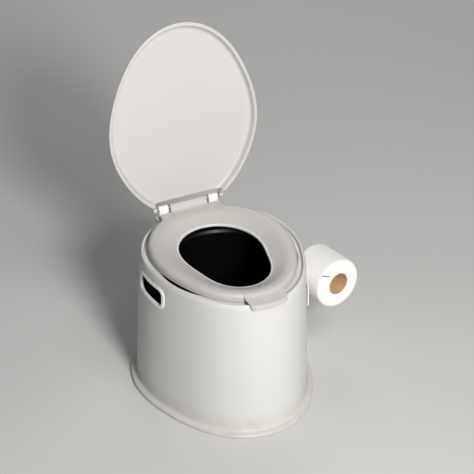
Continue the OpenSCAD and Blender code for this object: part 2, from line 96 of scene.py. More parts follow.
# ---------------------------------------------------------------- mesh helpers
def rounded(rings, radius, closed, steps=5):
    """Rounds every corner of the section through the rings; radius is one number or one per ring."""
    rings = [np.asarray(r, float) for r in rings]
    n = len(rings)
    radius = [radius] * n if np.isscalar(radius) else list(radius)
    out = []
    for k in range(n):
        p = rings[k]
        if not closed and k in (0, n - 1) or radius[k] <= 0:
            out.append(p)
            continue
        q, s = rings[k - 1], rings[(k + 1) % n]
        lq = np.linalg.norm(q - p, axis=1, keepdims=True) + 1e-9
        ls = np.linalg.norm(s - p, axis=1, keepdims=True) + 1e-9
        a = p + (q - p) / lq * np.minimum(radius[k], lq * 0.46)
        b = p + (s - p) / ls * np.minimum(radius[k], ls * 0.46)
        a2 = p + (q - p) / lq * np.minimum(radius[k] * 1.6, lq * 0.49)
        b2 = p + (s - p) / ls * np.minimum(radius[k] * 1.6, ls * 0.49)
        out.append(a2)
        for u in np.linspace(0, 1, steps):
            out.append((1 - u) ** 2 * a + 2 * u * (1 - u) * p + u * u * b)
        out.append(b2)
    return out


def make(name, verts, faces, material, body, node=None, smooth=True):
    me = bpy.data.meshes.new(name)
    me.from_pydata([tuple(v) for v in np.asarray(verts, float) / 1000.0], [], faces)
    me.validate()
    me.update()
    ob = bpy.data.objects.new(name, me)
    bpy.context.scene.collection.objects.link(ob)
    if smooth:
        me.polygons.foreach_set("use_smooth", [True] * len(me.polygons))
    me.materials.append(material[0])
    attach(ob, body)
    if node:
        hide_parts(*([node] if isinstance(node, str) else node))
    return ob


def loft(name, rings, material, body, node=None, around=True, closed=True, caps=False, keep=None, matrix=None):
    """Skin over rings of equal length. around joins each ring's ends, closed joins the last ring to the first."""
    k, n = len(rings), len(rings[0])
    verts = np.concatenate(rings)
    if matrix is not None:
        verts = verts @ np.array(matrix)[:3, :3].T + np.array(matrix)[:3, 3]
    faces = []
    for a in range(k if closed else k - 1):
        for i in range(n if around else n - 1):
            b, j = (a + 1) % k, (i + 1) % n
            f = (a * n + i, a * n + j, b * n + j, b * n + i)
            if keep is None or keep(verts[list(f)].mean(0)):
                faces.append(f)
    if caps and around:
        faces.append(tuple(range(n))[::-1])
        faces.append(tuple((k - 1) * n + i for i in range(n)))
    if caps and not around:
        faces.append(tuple(a * n for a in range(k)))
        faces.append(tuple(a * n + n - 1 for a in range(k))[::-1])
    return make(name, verts, faces, material, body, node)


def soften(ob, width, angle=35, segments=3):
    b = ob.modifiers.new("bevel", "BEVEL")
    b.width, b.segments, b.limit_method, b.angle_limit = width / 1000, segments, "ANGLE", math.radians(angle)
    b.harden_normals = True
    return ob


def extrude_x(name, poly, x1, x2, material, body, node=None, bevel=0.8, matrix=None):
    """Bar along X whose section is poly, a list of (y, z)."""
    x1, x2 = min(x1, x2), max(x1, x2)
    n = len(poly)
    verts = np.array([(x, y, z) for x in (x1, x2) for y, z in poly], float)
    if matrix is not None:
        verts = verts @ np.array(matrix)[:3, :3].T + np.array(matrix)[:3, 3]
    faces = [(i, (i + 1) % n, n + (i + 1) % n, n + i) for i in range(n)]
    faces += [tuple(range(n))[::-1], tuple(range(n, 2 * n))]
    ob = make(name, verts, faces, material, body, node, smooth=True)
    fix_normals(ob)
    return soften(ob, bevel, 25)


def fix_normals(ob):
    bpy.context.view_layer.objects.active = ob
    for o in bpy.context.selected_objects:
        o.select_set(False)
    ob.select_set(True)
    bpy.ops.object.mode_set(mode="EDIT")
    bpy.ops.mesh.select_all(action="SELECT")
    bpy.ops.mesh.normals_make_consistent(inside=False)
    bpy.ops.object.mode_set(mode="OBJECT")


def arc(cy, cz, r, a1, a2, n=14):
    return [(cy + r * math.cos(math.radians(a)), cz + r * math.sin(math.radians(a))) for a in np.linspace(a1, a2, n)]


def turned(sections, at, across, name, material, body, node=None, n=160):
    """Lathe: sections are (radius, along) pairs of a closed section, turned about the axis 'across' through 'at'."""
    z = Vector(across).normalized()
    x = z.orthogonal().normalized()
    y = z.cross(x)
    t = np.arange(n) * 2 * np.pi / n
    rings = []
    for r, h in sections:
        rings.append(np.array([np.array(at) + np.array(z) * h + np.array(x) * r * math.cos(a)
                               + np.array(y) * r * math.sin(a) for a in t]))
    ob = loft(name, rings, material, body, node)
    fix_normals(ob)
    return ob


def section(points, radius, steps=5):
    """Closed (radius, along) section with rounded corners."""
    rings = rounded([np.array([[p[0], p[1], 0.0]]) for p in points], radius, True, steps)
    return [(r[0][0], r[0][1]) for r in rings]


# ---------------------------------------------------------------- materials
def mat(name, colour, rough, slot, grain=(1500, 0.05), mottle=(14, 0.03), wear=0.0, gloss=0.5, coat=0.0, metal=0.0,
        sheen=0.0, dirt=0.0, sss=0.0):
    """Procedural material: mottled colour, fine moulded grain, scratches and a little dust near the floor."""
    m = bpy.data.materials.new(name)
    m.use_nodes = True
    nt = m.node_tree
    nt.nodes.clear()
    N_ = nt.nodes.new
    L = nt.links.new
    out = N_("ShaderNodeOutputMaterial")
    bs = N_("ShaderNodeBsdfPrincipled")
    L(bs.outputs[0], out.inputs[0])
    tc = N_("ShaderNodeTexCoord")
    big = N_("ShaderNodeTexNoise")
    big.inputs["Scale"].default_value = mottle[0]
    big.inputs["Detail"].default_value = 6
    L(tc.outputs["Object"], big.inputs["Vector"])
    mix = N_("ShaderNodeMix")
    mix.data_type = "RGBA"
    c = np.array(colour[:3])
    mix.inputs[6].default_value = (*(c * (1 - mottle[1])), 1)
    mix.inputs[7].default_value = (*np.minimum(c * (1 + mottle[1]), 1), 1)
    L(big.outputs[0], mix.inputs[0])
    colour_out = mix.outputs[2]
    if dirt:
        sep = N_("ShaderNodeSeparateXYZ")
        L(tc.outputs["Object"], sep.inputs[0])
        near = N_("ShaderNodeMapRange")
        near.inputs["From Min"].default_value = 0.0
        near.inputs["From Max"].default_value = 0.05
        near.inputs["To Min"].default_value = dirt
        near.inputs["To Max"].default_value = 0.0
        L(sep.outputs["Z"], near.inputs["Value"])
        patch = N_("ShaderNodeTexNoise")
        patch.inputs["Scale"].default_value = 45
        patch.inputs["Detail"].default_value = 8
        L(tc.outputs["Object"], patch.inputs["Vector"])
        both = N_("ShaderNodeMath")
        both.operation = "MULTIPLY"
        L(near.outputs[0], both.inputs[0])
        L(patch.outputs[0], both.inputs[1])
        soil = N_("ShaderNodeMix")
        soil.data_type = "RGBA"
        L(both.outputs[0], soil.inputs[0])
        L(colour_out, soil.inputs[6])
        soil.inputs[7].default_value = (0.30, 0.26, 0.21, 1)
        colour_out = soil.outputs[2]
    L(colour_out, bs.inputs["Base Color"])
    # roughness wanders a little, and fine scratches catch the light
    rr = N_("ShaderNodeMapRange")
    rr.inputs["To Min"].default_value = max(rough - 0.07, 0.02)
    rr.inputs["To Max"].default_value = min(rough + 0.07, 1)
    mid = N_("ShaderNodeTexNoise")
    mid.inputs["Scale"].default_value = 60
    mid.inputs["Detail"].default_value = 5
    L(tc.outputs["Object"], mid.inputs["Vector"])
    L(mid.outputs[0], rr.inputs["Value"])
    L(rr.outputs[0], bs.inputs["Roughness"])
    fine = N_("ShaderNodeTexNoise")
    fine.inputs["Scale"].default_value = grain[0]
    fine.inputs["Detail"].default_value = 3
    L(tc.outputs["Object"], fine.inputs["Vector"])
    bump = N_("ShaderNodeBump")
    bump.inputs["Strength"].default_value = grain[1]
    bump.inputs["Distance"].default_value = 0.0005
    L(fine.outputs[0], bump.inputs["Height"])
    last = bump.outputs[0]
    if wear:
        mp = N_("ShaderNodeMapping")
        mp.inputs["Scale"].default_value = (14, 160, 60)
        mp.inputs["Rotation"].default_value = (0.4, 0.7, 1.1)
        L(tc.outputs["Object"], mp.inputs["Vector"])
        sc = N_("ShaderNodeTexNoise")
        sc.inputs["Scale"].default_value = 2.2
        sc.inputs["Detail"].default_value = 10
        sc.inputs["Roughness"].default_value = 0.7
        L(mp.outputs[0], sc.inputs["Vector"])
        ramp = N_("ShaderNodeValToRGB")
        ramp.color_ramp.elements[0].position = 0.60
        ramp.color_ramp.elements[1].position = 0.68
        L(sc.outputs[0], ramp.inputs[0])
        b2 = N_("ShaderNodeBump")
        b2.invert = True
        b2.inputs["Strength"].default_value = wear
        b2.inputs["Distance"].default_value = 0.0004
        L(ramp.outputs[0], b2.inputs["Height"])
        L(last, b2.inputs["Normal"])
        last = b2.outputs[0]
    L(last, bs.inputs["Normal"])
    bs.inputs["Metallic"].default_value = metal
    bs.inputs["Specular IOR Level"].default_value = gloss
    bs.inputs["Coat Weight"].default_value = coat
    bs.inputs["Coat Roughness"].default_value = 0.15
    bs.inputs["Sheen Weight"].default_value = sheen
    if sss:
        bs.inputs["Subsurface Weight"].default_value = sss
        bs.inputs["Subsurface Radius"].default_value = (0.004, 0.003, 0.002)
        bs.inputs["Subsurface Scale"].default_value = 1.0
    return m, slot


M_SHELL = mat("shell_plastic", (0.70, 0.695, 0.675), 0.45, "shell", (1300, 0.10), (9, 0.02), 0.10, dirt=0.5,
              gloss=0.35)
M_SEAT = mat("seat_plastic", (0.585, 0.572, 0.548), 0.46, "seat", (900, 0.20), (16, 0.03), 0.12)
# painted highlight: paler than the seat plastic, for the bright line along the hole's lip
M_LIP_HIGHLIGHT = mat("lip_painted_highlight", (0.80, 0.79, 0.77), 0.35, "seat", (1200, 0.08), (20, 0.02), 0.06)
M_LID = mat("lid_plastic", (0.63, 0.62, 0.60), 0.36, "lid", (1300, 0.07), (7, 0.015), 0.08)
M_TRIM = mat("trim_plastic", (0.93, 0.93, 0.92), 0.25, "trim", (1500, 0.03), (20, 0.01), 0.05, coat=0.2)
M_BUCKET = mat("bucket_plastic", (0.002, 0.002, 0.0025), 0.36, "bucket", (1100, 0.05), (20, 0.1), 0.22, gloss=0.22)
M_RUBBER = mat("foot_rubber", (0.07, 0.07, 0.07), 0.8, "rubber", (700, 0.3), (40, 0.15))
M_WIRE = mat("zinc_wire", (0.62, 0.62, 0.63), 0.3, "wire", (2200, 0.1), (60, 0.08), 0.2, metal=1.0)
M_SCREW = mat("plated_steel", (0.6, 0.6, 0.62), 0.35, "screw", (2200, 0.15), (80, 0.1), metal=1.0)
M_CORE = mat("core_board", (0.62, 0.41, 0.23), 0.85, "core", (500, 0.5), (190, 0.35), 0.3, sheen=0.1)

CAD_LOOK = {
    "base_plate": M_SHELL, "base_screws": M_SCREW, "bracket_screws": M_SCREW, "spindle_screw": M_SCREW,
    "hinge_pin_left": M_WIRE, "hinge_pin_right": M_WIRE, "seat_feet": M_RUBBER,
}
for node, (m, s) in CAD_LOOK.items():
    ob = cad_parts[node]
    ob.data.materials.clear()
    ob.data.materials.append(m)

# ---------------------------------------------------------------- drum
wall = [drum_ring(wall_m(z), z) for z in [18, 60, 110, 160, 200, 222, 228, 234, 238, 242, 246, 250, 254, 258, 262,
                                         266, 270, 274, 278, 283]]
inner_z = [279, 274, 270, 266, 262, 258, 254, 250, 246, 242, 238, 234, 228, 222, 200, 150, 80, 14]
inner = [drum_ring(wall_m(z) - 3, z) for z in inner_z]
drum = [drum_ring(192, 0), drum_ring(193.4, 1.4), drum_ring(193.4, 5.4), drum_ring(191.6, 7.4),
        drum_ring(184.6, 9), drum_ring(181.8, 11.5)]
r_drum = [0.8, 1.0, 1.2, 2.0, 4.0, 3.0]
drum += wall
r_drum += [4.0] + [0] * (len(wall) - 2) + [3.0]
drum += [drum_ring(169.2, 289), drum_ring(167.9, 293.1), drum_ring(166.4, 295.9), drum_ring(164.5, 297.3),
         drum_ring(162.2, 296.5), drum_ring(160.8, 294.3), drum_ring(160.5, 290)]
r_drum += [2.5, 1.8, 1.8, 1.8, 1.4, 1.5, 1.6]
drum += [round_ring(139, 290), round_ring(138.5, 284), round_ring(127.5, 284), round_ring(127.5, 281),
         round_ring(142, 281), round_ring(142.4, 286.5), drum_ring(163.8, 286.5)]
r_drum += [1.2, 0.8, 0.8, 0.8, 0, 0, 1]
drum += inner
r_drum += [0] * len(inner)
drum += [drum_ring(177.6, 3.2), drum_ring(187.2, 3.2), drum_ring(187.2, 0)]
r_drum += [0, 0, 0.3]


def beyond_hand_hole(c):
    """False inside the two hand holes, whose edges the trims cover."""
    dy, dz = abs(c[1] - GRIP_Y), abs(c[2] - GRIP_Z)
    hx, hz, r = GRIP_L / 2 + 2.5, GRIP_H / 2 + 2.5, GRIP_R + 2.5
    if abs(c[0]) < 120 or dy > hx or dz > hz:
        return True
    return math.hypot(max(dy - hx + r, 0), max(dz - hz + r, 0)) > r


loft("drum", rounded(drum, r_drum, True), M_SHELL, "drum", "drum_shell", keep=beyond_hand_hole)

# shelf behind the collar: the strip between its outer path and the collar's outline
fine_a = np.linspace(math.radians(100), math.radians(260), 400)


def collar_line(m, count, half=69.0):
    """Points on the collar's outline behind the seat, evenly spaced from right to left."""
    r = egg(m, DRUM, fine_a)
    x, y = r * np.sin(fine_a), -r * np.cos(fine_a)
    want = np.linspace(half, -half, count)
    order = np.argsort(x)
    return np.stack([want, np.interp(want, x[order], y[order])], 1)


def corner_path(hw, y0, y1, r, side=8, back=30):
    """Open path in plan: up the right side, round two corners of radius r and down the left side."""
    pts = [(hw, y) for y in np.linspace(y0, y1 - r - 0.5, side)]
    pts += [(hw - r + r * math.cos(t), y1 - r + r * math.sin(t)) for t in np.linspace(0.02, math.pi / 2, 12)]
    pts += [(x, y1) for x in np.linspace(hw - r - 4, -hw + r + 4, back)]
    pts += [(-hw + r - r * math.sin(t), y1 - r + r * math.cos(t)) for t in np.linspace(0, math.pi / 2 - 0.02, 12)]
    pts += [(-hw, y) for y in np.linspace(y1 - r - 0.5, y0, side)]
    return np.array(pts)


def at_z(p, z):
    return np.column_stack([p, np.broadcast_to(np.asarray(z, float), len(p))])


path, inset = corner_path(70, 158.0, 188.0, 9), corner_path(67, 158.0, 185.0, 6)
q_top = collar_line(165.6, len(path))
shelf = [at_z(path, 289), at_z(path, SHELF_Z), at_z(q_top, SHELF_Z), at_z(q_top, 293.5), at_z(inset, 293.5), at_z(inset, 289)]
ob = loft("hinge_shelf", rounded(shelf, [0.6, 2.0, 0, 0, 1, 0.6], True), M_SHELL, "drum", around=False, caps=True)
fix_normals(ob)
for x in (-43, -14, 14, 43):
    wall_line = collar_line(167.5, 200)[::-1]
    y0 = float(np.interp(x, wall_line[:, 0], wall_line[:, 1]))
    extrude_x("shelf_rib_%d" % (x + 100), [(y0, 289.4), (186, 289.4), (186, 294.5), (y0, 294.5)], x - 1.5, x + 1.5,
              M_SHELL, "drum", bevel=0.4)

# ---------------------------------------------------------------- trims round the hand holes
def stadium(length, height, radius, n=36):
    """Rounded rectangle as (y, z) points, n to each corner and each side."""
    pts = []
    cx, cz = length / 2 - radius, height / 2 - radius
    for k, (sy, sz) in enumerate([(1, 1), (-1, 1), (-1, -1), (1, -1)]):
        t = np.linspace(k * 90, (k + 1) * 90, n // 3)
        pts += [(sy * cx + radius * math.cos(math.radians(a)), sz * cz + radius * math.sin(math.radians(a))) for a in t]
        nxt = [(1, 1), (-1, 1), (-1, -1), (1, -1)][(k + 1) % 4]
        p = pts[-1]
        a = math.radians((k + 1) * 90)
        q = (nxt[0] * cx + radius * math.cos(a), nxt[1] * cz + radius * math.sin(a))
        pts += [(p[0] + (q[0] - p[0]) * u, p[1] + (q[1] - p[1]) * u) for u in np.linspace(0, 1, 14)[1:-1]]
    return np.array(pts)


def trim_ring(s, q, off):
    p = stadium(GRIP_L + 2 * q, GRIP_H + 2 * q, GRIP_R + q)
    y, z = p[:, 0] + GRIP_Y, p[:, 1] + GRIP_Z
    return np.stack([s * wall_x(y, z, off), y, z], 1)


for s, side in ((-1, "left"), (1, "right")):
    rings = [trim_ring(s, 0, -3.4), trim_ring(s, 0, 0.4), trim_ring(s, 0.3, 1.6), trim_ring(s, 1.4, 2.2), trim_ring(s, 6.4, 2.2),
             trim_ring(s, 7.7, 1.5), trim_ring(s, 8, 0.15), trim_ring(s, 1.8, 0.15), trim_ring(s, 1.8, -3.4)]
    ob = loft("hand_hole_trim_" + side, rounded(rings, [0.4, 1, 1, 1.2, 1.6, 1, 0.3, 0.3, 0.4], True), M_TRIM, "drum",
              "handle_trim_" + side)
    fix_normals(ob)

# ---------------------------------------------------------------- seat
low_z, lip_z = DECK_Z + 2.3, SEAT_Z - 13.6
seat = [(0.010, low_z, 0.6), (0, low_z + 1.2, 0.6), (0, SEAT_Z - 8.4, 2.5), (0.018, SEAT_Z - 4.6, 2.2),
        (0.056, SEAT_Z - 1.9, 2.2), (0.115, SEAT_Z - 0.3, 3.5), (0.20, SEAT_Z, 4.5), (0.36, SEAT_Z - 1, 5),
        (0.50, SEAT_Z - 3.2, 5), (0.68, SEAT_Z - 7.4, 5), (0.86, SEAT_Z - 11.6, 5), (0.955, lip_z + 0.2, 1.4),
        (0.985, lip_z, 0.8), (1, lip_z - 1, 0.8), (1, lip_z - 4.4, 0.8), (0.955, lip_z - 4.4, 0.6),
        (0.945, lip_z - 3.4, 0.6), (0.86, SEAT_Z - 15.4, 4), (0.68, SEAT_Z - 11.2, 5), (0.50, SEAT_Z - 7, 5),
        (0.36, SEAT_Z - 4.8, 5), (0.20, SEAT_Z - 4, 4), (0.075, SEAT_Z - 5.4, 3), (0.058, SEAT_Z - 8, 3),
        (0.054, low_z, 0.5)]
loft("seat_ring", rounded([seat_ring(t, z) for t, z, r in seat], [r for t, z, r in seat], True), M_SEAT, "seat", "seat")
# painted highlight: the lip round the hole gets a paler copy of the seat plastic to show the bright line it catches;
# outline t, height from the lip
lip = [(0.938, 0.45, 0.3), (0.955, 0.5, 0.8), (0.985, 0.3, 0.8), (1.004, -0.9, 0.8), (1.004, -4.3, 0.2), (0.997, -4.3, 0.1),
       (0.997, -1.2, 0.3), (0.985, -0.3, 0.3), (0.95, 0.0, 0)]
loft("seat_hole_lip", rounded([seat_ring(t, lip_z + z) for t, z, r in lip], [r for t, z, r in lip], True), M_LIP_HIGHLIGHT, "seat")


def tab_path(q):
    """The finger tab's outline in plan, moved in by q."""
    hw, r = 40.0 - q, max(9.0 - q, 0.6)
    xs = np.linspace(-hw, hw, 81)
    a = np.linspace(-0.5, 0.5, 200)
    rr = egg(174.2 - q, DRUM, a)
    front = np.interp(xs, rr * np.sin(a), -rr * np.cos(a))
    over = np.maximum(np.abs(xs) - (hw - r), 0)
    y = front + (r - np.sqrt(np.maximum(r * r - over * over, 0)))
    pts = [(-hw, yy) for yy in np.linspace(-153, y[0] + 0.01, 8)][:-1]
    pts += list(zip(xs, y))
    pts += [(hw, yy) for yy in np.linspace(y[-1] + 0.01, -153, 8)][1:]
    return np.array(pts)


def between(p, q, u):
    return p * (1 - u) + q * u


def seat_line(t, xs, front):
    """Points of the seat's outline t at the given x, on its front or back half."""
    c = seat_ring(t, 0.0)
    c = c[(c[:, 1] < -14) == front]
    c = c[np.argsort(c[:, 0])]
    return np.column_stack([xs, np.interp(xs, c[:, 0], c[:, 1])])


# rows that leave the seat's own surface gently: outline t, drop below the crest
LEAVE = [(0.15, 0.02), (0.20, 0.03), (0.25, 0.42), (0.30, 1.0), (0.31, 3.0)]
tab_p, tab_q = tab_path(0), tab_path(3)
under = COLLAR_Z + 1.5
wide = np.linspace(-37.0, 37.0, len(tab_p))
edge_line = seat_line(0.0, np.linspace(-60, 60, 121), True)


def tab_height(p):
    """The tab's top: it follows the seat's rounded edge, then runs on level over the collar."""
    past = np.interp(p[:, 0], edge_line[:, 0], edge_line[:, 1]) - p[:, 1]
    return SEAT_Z - np.interp(past, [-9.5, -7, -5.2, -3.6, -2.4, -1.2, 0, 3, 8, 16, 28],
                              [0.02, 0.04, 0.12, 0.45, 1.0, 1.9, 2.9, 4.6, 6.0, 7.0, 7.8])




def skirt_low(p):
    """The tab's lower edge: down in front of the wall, but above the collar where it passes over that."""
    a = np.arctan2(p[:, 0], -p[:, 1])
    return np.where(np.hypot(p[:, 0], p[:, 1]) > egg(170.6, DRUM, a), under - 9.5, under)


tab = [at_z(tab_p, skirt_low(tab_p))]
inner_row = seat_line(0.15, wide, True)
for u in (0, 0.3, 0.5, 0.58, 0.64, 0.70, 0.76, 0.82, 0.9):
    row = between(tab_p, inner_row, u)
    tab.append(at_z(row, tab_height(row)))
tab += [at_z(seat_line(t, wide, True), SEAT_Z - d) for t, d in LEAVE]
tab += [at_z(tab_q, under), at_z(tab_q, skirt_low(tab_q) + 0.01)]
ob = loft("seat_tab", rounded(tab, [1.2, 1.8] + [1.5] * 8 + [0] * 5 + [1, 1.2], True), M_SEAT, "seat", around=False, caps=True)
fix_normals(ob)

# hinge plate behind the seat, over the collar
bp, bq = corner_path(68, 147.0, HINGE_Y - 7.5, 12), corner_path(65, 147.0, HINGE_Y - 10.5, 9)
wide = np.linspace(66, -66, len(bp))
low = COLLAR_Z + 1.7
plate = [at_z(bp, low), at_z(bp, SEAT_Z - 0.3), at_z(between(bp, seat_line(0.15, wide, False), 0.5), SEAT_Z - 0.1)]
plate += [at_z(seat_line(t, wide, False), SEAT_Z - d) for t, d in LEAVE]
plate += [at_z(bq, SEAT_Z - 3.3), at_z(bq, low)]
ob = loft("seat_hinge_plate", rounded(plate, [0.5, 2.8, 4] + [0] * 5 + [1, 0.5], True), M_SEAT, "seat", around=False,
          caps=True)
fix_normals(ob)

tongue = [(163, SEAT_Z - 4), (169, SEAT_Z - 7), (172.5, HINGE_Z - 6.0)]
tongue += arc(HINGE_Y, HINGE_Z, 6, -95, 138, 20)
p0, p1, p2 = np.array([160.5, SEAT_Z - 0.25]), np.array([171.5, SEAT_Z - 0.1]), np.array(tongue[-1])
tongue += [tuple((1 - u) ** 2 * p2 + 2 * u * (1 - u) * p1 + u * u * p0) for u in np.linspace(0.1, 1, 10)]
extrude_x("seat_tongue", tongue, -40, 40, M_SEAT, "seat", bevel=0.8)

# ---------------------------------------------------------------- hinge brackets
for s, side in ((-1, "left"), (1, "right")):
    lug = [(HINGE_Y - 6.5, 297.4), (HINGE_Y + 7.5, 297.4), (HINGE_Y + 7.5, 300.4), (HINGE_Y + 6.6, 306)]
    lug += arc(HINGE_Y, HINGE_Z, 6.5, 0, 180, 20)
    extrude_x("hinge_lug_" + side, lug, s * 45, s * 65, M_TRIM, "drum", "hinge_bracket_" + side, bevel=0.9)

# ---------------------------------------------------------------- lid, made closed and turned back
OPEN = Matrix.Translation((0, HINGE_Y, HINGE_Z)) @ Matrix.Rotation(math.radians(-LID_OPEN), 4, "X") @ Matrix.Translation(
    (0, -HINGE_Y, -HINGE_Z))
UNDER, RIM, CUT = HINGE_Z + 1.5, HINGE_Z - 12, HINGE_Y - 15.5


def lid_ring(k, z):
    return ring(176.6 * k, LID, HINGE_Y - 174.3, z)


def cut_behind(ob, y, matrix):
    """Cuts a closed mesh off behind y with a flat end, then moves it by matrix."""
    bm = bmesh.new()
    bm.from_mesh(ob.data)
    geom = bm.verts[:] + bm.edges[:] + bm.faces[:]
    bmesh.ops.bisect_plane(bm, geom=geom, plane_co=(0, y / 1000, 0), plane_no=(0, 1, 0), clear_outer=True)
    bmesh.ops.edgeloop_fill(bm, edges=[e for e in bm.edges if e.is_boundary])
    bmesh.ops.recalc_face_normals(bm, faces=bm.faces[:])
    for v in bm.verts:
        v.co = (matrix @ (v.co * 1000)) / 1000
    bm.to_mesh(ob.data)
    bm.free()
    ob.data.polygons.foreach_set("use_smooth", [True] * len(ob.data.polygons))
    ob.data.update()


TOP = UNDER + 2.6
lid = [(0.02, UNDER + 0.1, 0), (0.30, UNDER + 0.1, 3), (0.86, UNDER, 6), (0.922, UNDER - 0.8, 2), (0.943, UNDER - 3, 2),
       (0.962, RIM + 1, 1.2), (0.974, RIM, 0.7), (0.992, RIM, 0.7), (1, RIM + 1.2, 0.8), (1, RIM + 2.8, 2),
       (0.985, RIM + 6.8, 4), (0.962, RIM + 12, 4), (0.942, TOP - 0.8, 2.5), (0.912, TOP + 0.8, 4), (0.84, TOP + 1.8, 8),
       (0.30, TOP + 3, 8), (0.02, TOP + 3, 0)]
ob = loft("lid_dish", rounded([lid_ring(k, z) for k, z, r in lid], [r for k, z, r in lid], False), M_LID, "lid", "lid",
          closed=False, caps=True)
cut_behind(ob, CUT, OPEN)
soften(ob, 0.7, 50)
# each ear carries the rim's curve on to the pin: sections across it from the rim to the knuckle
EAR = [  # y from the hinge, inner x, outer x, bottom z, top z
    (-24, 83.0, 94.2, RIM + 0.4, RIM + 4.0), (-20, 79.0, 91.5, RIM + 0.1, RIM + 9.0), (-17, 76.5, 88.4, RIM + 0.1, HINGE_Z + 1.5),
    (-12, 73.0, 83.8, RIM + 0.5, HINGE_Z + 3.4), (-8, 70.6, 80.4, RIM + 3.4, HINGE_Z + 4.6),
    (-5, 69.7, 78.6, HINGE_Z - 5.4, HINGE_Z + 4.9), (-2, 69.5, 77.7, HINGE_Z - 6.3, HINGE_Z + 6.2),
    (1, 69.5, 77.5, HINGE_Z - 6.4, HINGE_Z + 6.4), (4, 69.5, 77.5, HINGE_Z - 5.1, HINGE_Z + 5.1),
    (6.3, 69.7, 77.3, HINGE_Z - 1.5, HINGE_Z + 1.5)]
for s, side in ((-1, "left"), (1, "right")):
    rings = []
    for dy, x1, x2, z1, z2 in EAR:
        r = min((x2 - x1) / 2, (z2 - z1) / 2) * 0.45
        q = []
        for cx, cz, a0 in ((x2 - r, z2 - r, 0), (x1 + r, z2 - r, 90), (x1 + r, z1 + r, 180), (x2 - r, z1 + r, 270)):
            q += [(s * (cx + r * math.cos(math.radians(a0 + a))), HINGE_Y + dy, cz + r * math.sin(math.radians(a0 + a)))
                  for a in np.linspace(0, 90, 6)]
        rings.append(np.array(q))
    ob = loft("lid_ear_" + side, rounded(rings, 1.5, False, 3), M_LID, "lid", closed=False, caps=True, matrix=OPEN)
    fix_normals(ob)

# ---------------------------------------------------------------- bucket, bail and grip
fz = 284.2
bucket = [(0.5, 27), (94, 27), (96, 24), (101, 24), (104.5, 29), (121, fz - 15), (125, fz - 10), (125, fz), (136.5, fz),
          (136.5, fz + 2.2), (125, fz + 2.2), (124.1, fz + 3.4), (122.9, fz + 3.2), (122.5, fz + 1.6), (122.5, fz - 9),
          (118.5, fz - 14), (102, 31), (98, 30), (0.5, 30)]
turned(section(bucket, [0, 1, 1, 2, 3, 2, 2, 0.5, 0.6, 0.6, 0.8, 0.5, 0.5, 0.8, 2.2, 2.4, 3, 4, 0]), (0, 0, 0), (0, 0, 1),
       "bucket", M_BUCKET, "drum", "inner_bucket", 224)
for s in (-1, 1):
    extrude_x("bucket_ear_%d" % (s + 2), [(-8, 285), (8, 285), (8, 293), (6, 296), (-6, 296), (-8, 293)],
              s * 125.4, s * 129.9, M_BUCKET, "drum", bevel=0.8)
curve = bpy.data.curves.new("bail_wire", "CURVE")
curve.dimensions, curve.bevel_depth, curve.bevel_resolution, curve.resolution_u = "3D", 0.002, 6, 24
sp = curve.splines.new("POLY")
pts = [(123.6, 0)] + [(132.3 * math.cos(a), 132.3 * math.sin(a)) for a in np.linspace(0, math.pi, 90)] + [(-123.6, 0)]
sp.points.add(len(pts) - 1)
for p, (x, y) in zip(sp.points, pts):
    p.co = (x / 1000, y / 1000, 0.2915, 1)
wire = bpy.data.objects.new("bail_wire", curve)
bpy.context.scene.collection.objects.link(wire)
wire.data.materials.append(M_WIRE[0])
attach(wire, "drum")
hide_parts("bucket_bail")
rings = []
for i, a in enumerate(np.linspace(90 - 22, 90 + 22, 120)):
    r = 4.4 - (0.5 if i % 8 in (0, 1) else 0)
    if i in (0, 119):
        r = 3.6
    c = np.array([132.3 * math.cos(math.radians(a)), 132.3 * math.sin(math.radians(a)), 291.5])
    out = np.array([math.cos(math.radians(a)), math.sin(math.radians(a)), 0])
    t = np.arange(40) * 2 * np.pi / 40
    rings.append(c + np.outer(np.cos(t) * r, out) + np.outer(np.sin(t) * r, [0, 0, 1]))
ob = loft("bail_grip_ribbed", rings, M_BUCKET, "drum", "bail_grip", closed=False, caps=True)
fix_normals(ob)

# ---------------------------------------------------------------- paper holder
ROLL = Matrix.Translation((222, 50.6, 171)) @ Matrix.Rotation(math.radians(10), 4, "Z") @ Matrix.Rotation(
    math.radians(-3), 4, "X")
ROLL_AT = ROLL @ Vector((0, 0, 0))
ROLL_DIR = (ROLL @ Vector((0, -1, 0)) - ROLL_AT).normalized()


def slab(name, o1, o2, z1, z2, a1, a2, bevel=0.8, node=None):
    """Curved plate that follows the drum's wall."""
    n = max(int(abs(a2 - a1) / 1.5), 2) + 1
    a = np.radians(np.linspace(a1, a2, n))
    rings = [wall_at(a, z1, o1), wall_at(a, z1, o2), wall_at(a, z2, o2), wall_at(a, z2, o1)]
    ob = loft(name, rings, M_TRIM, "drum", node, around=False, caps=True)
    fix_normals(ob)
    return soften(ob, bevel, 40)


slab("holder_face", 2.8, 5.4, 182, 227, 60, 110, node="holder_plate")
slab("holder_strap", 2.8, 5.4, 226, 240.5, 84, 96)
slab("holder_bridge", -7.4, 5.4, 237.5, 240.5, 84, 96)
slab("holder_hook", -7.4, -4.6, 223.5, 240.5, 84, 96)
SPINDLE_UP = 23.5 - 1.6 - 15 - 1.2 - 0.3
arm = [(math.cos(math.radians(a)) * 15, SPINDLE_UP + math.sin(math.radians(a)) * 15) for a in np.linspace(80, -127, 30)]
arm = arm + [(-56, 14), (-56, 44)]
verts = [(x, y, z) for y in (9, 13) for x, z in arm]
n = len(arm)
faces = [(i, (i + 1) % n, n + (i + 1) % n, n + i) for i in range(n)] + [tuple(range(n))[::-1], tuple(range(n, 2 * n))]
verts = np.array([ROLL @ Vector(v) for v in verts])
ob = make("holder_arm", verts, faces, M_TRIM, "drum")
fix_normals(ob)
soften(ob, 0.7, 40)
spindle = [(0.3, -44), (16.2, -44), (16.2, -40), (15, -39), (15, 5), (23.5, 5), (23.5, 8.9), (0.3, 8.9)]
